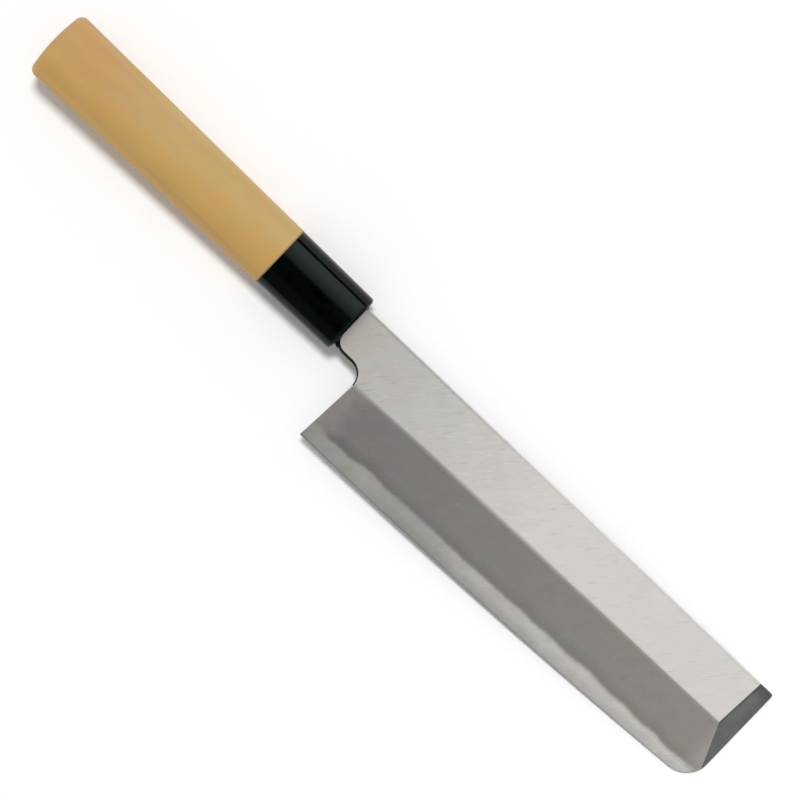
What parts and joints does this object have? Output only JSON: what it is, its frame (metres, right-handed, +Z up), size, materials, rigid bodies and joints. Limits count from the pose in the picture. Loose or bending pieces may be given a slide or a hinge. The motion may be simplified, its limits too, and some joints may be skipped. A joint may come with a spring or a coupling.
{
  "type": "usuba knife",
  "caption": "Usuba vegetable knife: straight-edged single-bevel blade with a square end, pale D-section wooden handle and black ferrule.",
  "frame": {"origin": "centre of the bounding box in plan, on the table that the knife lies on", "axes": "+X from the butt of the handle towards the square end of the blade, +Y from the cutting edge towards the spine, +Z up, out of the bevelled side"},
  "size_m": [0.3066, 0.0484, 0.0233],
  "materials": {
    "soft_iron": "satin",
    "hard_steel": "fine ground",
    "magnolia_wood": "bare sanded",
    "black_ferrule": "polished",
    "black_resin": "satin"
  },
  "bodies": {
    "root": {"blade_soft_iron": "soft_iron", "blade_hard_steel": "hard_steel", "handle_wood": "magnolia_wood", "ferrule": "black_ferrule", "tang_seal": "black_resin"}
  },
  "joints": []
}
